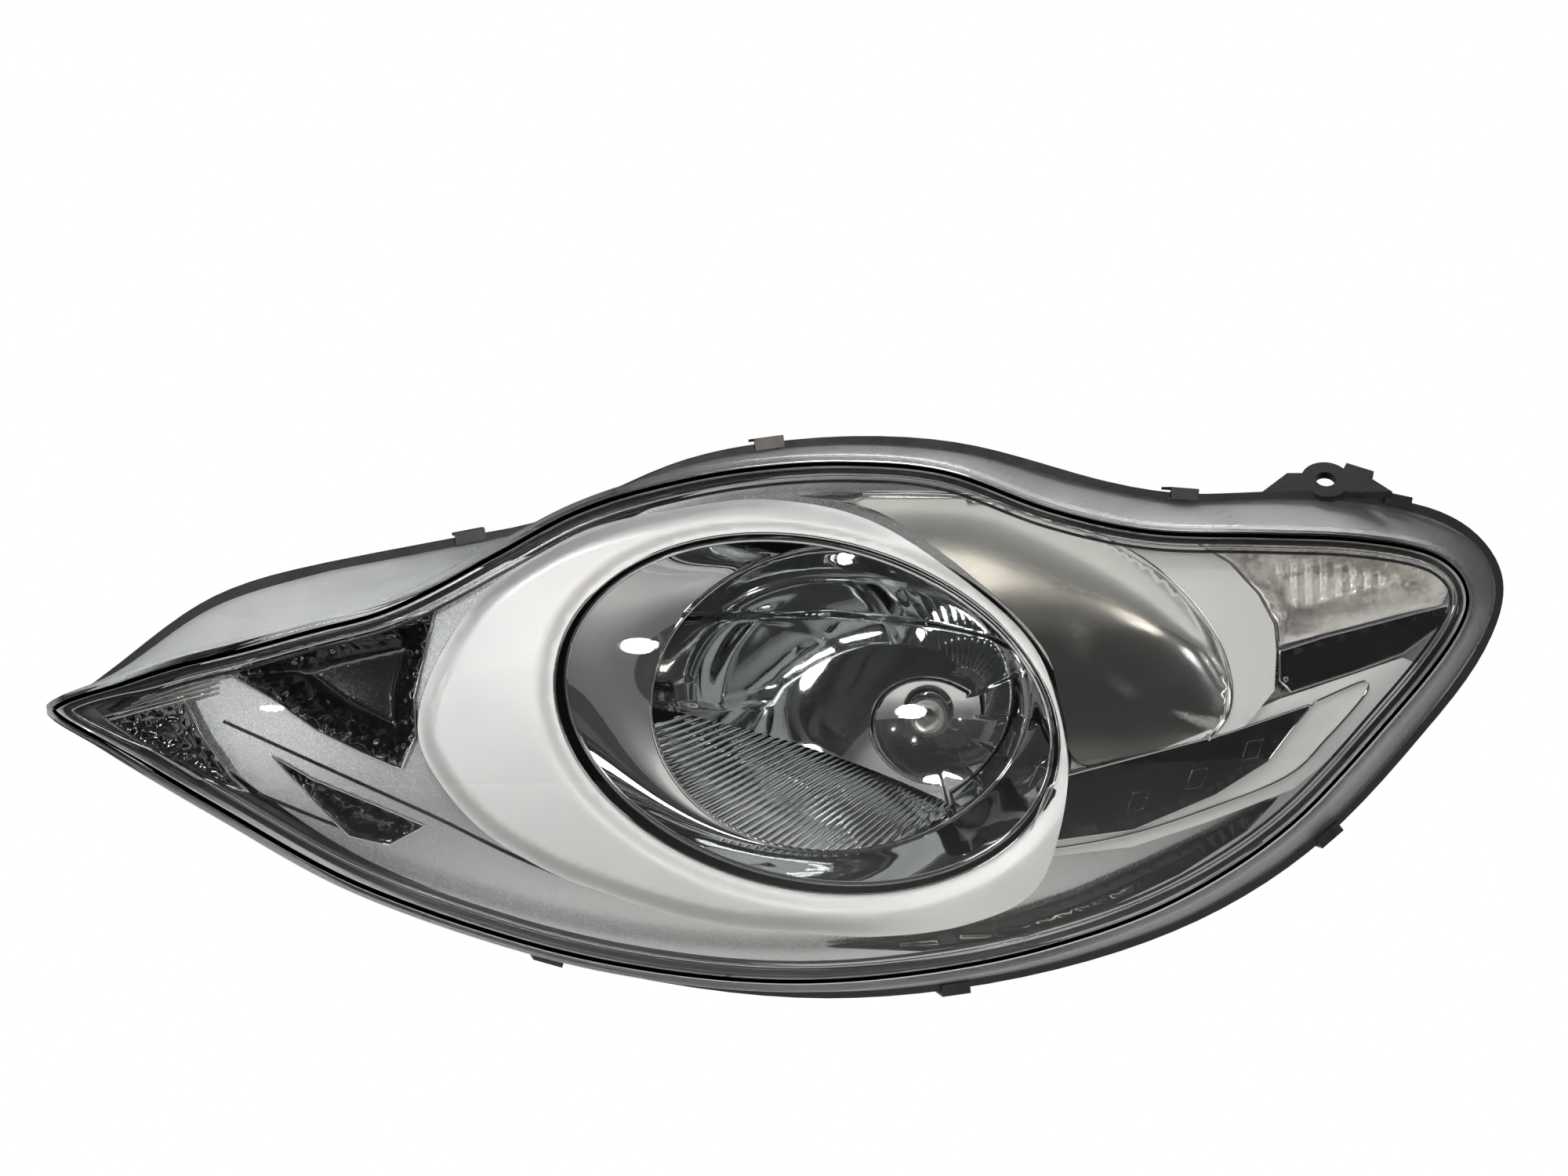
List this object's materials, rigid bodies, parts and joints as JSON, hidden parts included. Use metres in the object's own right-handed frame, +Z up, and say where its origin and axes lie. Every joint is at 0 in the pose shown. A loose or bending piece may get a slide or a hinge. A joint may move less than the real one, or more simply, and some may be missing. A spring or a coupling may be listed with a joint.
{
  "type": "car headlight assembly",
  "caption": "Left headlight for a small car: clear swept-back lens on a black housing, with an aimable chrome bowl, indicator and marker cells, bulbs, service cap and levelling motor.",
  "frame": {"origin": "centre of the fixing hole in the upper outer ear of the housing", "axes": "+X along the lamp towards its outer end, +Y back into the car, +Z up"},
  "size_m": [0.6233, 0.2658, 0.2473],
  "materials": {
    "housing_plastic": "fine moulded texture",
    "clear_lens": "clear hard-coated polycarbonate with a frosted skirt",
    "sealant": "butyl bead",
    "spring_steel": "plated",
    "silver_bezel": "silver painted plastic",
    "satin_silver": "satin silver paint",
    "reflector_coat": "vacuum-coated aluminium on plastic",
    "dark_gloss": "glossy dark plastic",
    "motor_plastic": "moulded",
    "terminal_brass": "tinned",
    "cap_rubber": "soft",
    "nylon": "natural nylon",
    "bulb_metal": "pressed and plated",
    "bulb_glass": "clear quartz",
    "amber_glass": "amber coated",
    "cap_plastic": "moulded",
    "holder_plastic": "moulded grey"
  },
  "bodies": {
    "housing": {"rear_housing": "housing_plastic", "front_lens": "clear_lens", "lens_seal": "sealant", "lens_clips": "spring_steel", "main_bezel": "silver_bezel", "crescent_trim": "satin_silver", "side_reflector": "reflector_coat", "wing_trim": "silver_bezel", "corner_strip": "dark_gloss", "indicator_reflector": "reflector_coat", "corner_reflector": "reflector_coat", "marker_reflector": "silver_bezel", "pivot_post": "housing_plastic", "levelling_motor": "motor_plastic", "motor_pins": "terminal_brass", "side_gearcase": "motor_plastic", "mechanism_screws": "spring_steel", "main_socket": "housing_plastic", "socket_pins": "terminal_brass", "vent_cap": "cap_rubber"},
    "pivot_yoke": {"pivot_cup": "nylon"},
    "reflector": {"main_reflector": "reflector_coat", "ball_cups": "nylon", "bulb_seat": "spring_steel", "bulb_base": "bulb_metal", "bulb_glass": "bulb_glass", "bulb_contacts": "terminal_brass"},
    "clip": {"bulb_clip": "spring_steel"},
    "plug": {"bulb_plug": "motor_plastic"},
    "height_rod": {"motor_stem": "nylon"},
    "side_rod": {"side_stem": "nylon"},
    "height_knob": {"height_wheel": "nylon"},
    "side_knob": {"side_wheel": "nylon"},
    "cap": {"dust_cap": "cap_plastic", "cap_gasket": "cap_rubber"},
    "indicator_socket": {"indicator_holder": "holder_plastic", "indicator_contacts": "terminal_brass", "indicator_base": "bulb_metal", "indicator_bulb": "amber_glass"},
    "position_socket": {"position_holder": "holder_plastic", "position_contacts": "terminal_brass", "position_bulb": "bulb_glass"}
  },
  "joints": [
    {"name": "aim_height", "type": "hinge", "parent": "housing", "child": "pivot_yoke", "pos_m": [-0.281, -0.034, -0.056], "axis": [1, 0, 0], "range_deg": [-2.5, 2.5]},
    {"name": "aim_side", "type": "hinge", "parent": "pivot_yoke", "child": "reflector", "pos_m": [-0.281, -0.034, -0.056], "axis": [0, 0, 1], "range_deg": [-2, 2]},
    {"name": "height_rod_travel", "type": "slide", "parent": "housing", "child": "height_rod", "axis": [0, 1, 0], "range_m": [-0.0045, 0.0045]},
    {"name": "side_rod_travel", "type": "slide", "parent": "housing", "child": "side_rod", "axis": [0, 1, 0], "range_m": [-0.0056, 0.0056]},
    {"name": "height_wheel_turn", "type": "hinge", "parent": "housing", "child": "height_knob", "pos_m": [-0.281, 0.096, -0.154], "axis": [0, 1, 0], "range_deg": [-395, 395]},
    {"name": "side_wheel_turn", "type": "hinge", "parent": "housing", "child": "side_knob", "pos_m": [-0.127, 0.076, -0.056], "axis": [0, 1, 0], "range_deg": [-495, 495]},
    {"name": "bulb_clip_swing", "type": "hinge", "parent": "reflector", "child": "clip", "pos_m": [-0.181, 0.0392, -0.093], "axis": [1, 0, 0], "range_deg": [0, 75]},
    {"name": "bulb_plug_pull", "type": "slide", "parent": "reflector", "child": "plug", "axis": [0, 1, 0], "range_m": [0, 0.012]},
    {"name": "dust_cap_twist", "type": "hinge", "parent": "housing", "child": "cap", "pos_m": [-0.181, 0.076, -0.11], "axis": [0, 1, 0], "range_deg": [0, 30]},
    {"name": "indicator_socket_twist", "type": "hinge", "parent": "housing", "child": "indicator_socket", "pos_m": [-0.417, -0.024, -0.086], "axis": [0, 1, 0], "range_deg": [0, 50]},
    {"name": "position_socket_twist", "type": "hinge", "parent": "housing", "child": "position_socket", "pos_m": [0.009, 0.048, -0.046], "axis": [0, 1, 0], "range_deg": [0, 50]}
  ],
  "couplings": [
    {"joint": "height_rod_travel", "follows": "aim_height", "m_per_rad": 0.098},
    {"joint": "side_rod_travel", "follows": "aim_side", "m_per_rad": 0.154},
    {"joint": "height_wheel_turn", "follows": "aim_height", "ratio": 154},
    {"joint": "side_wheel_turn", "follows": "aim_side", "ratio": 242}
  ]
}
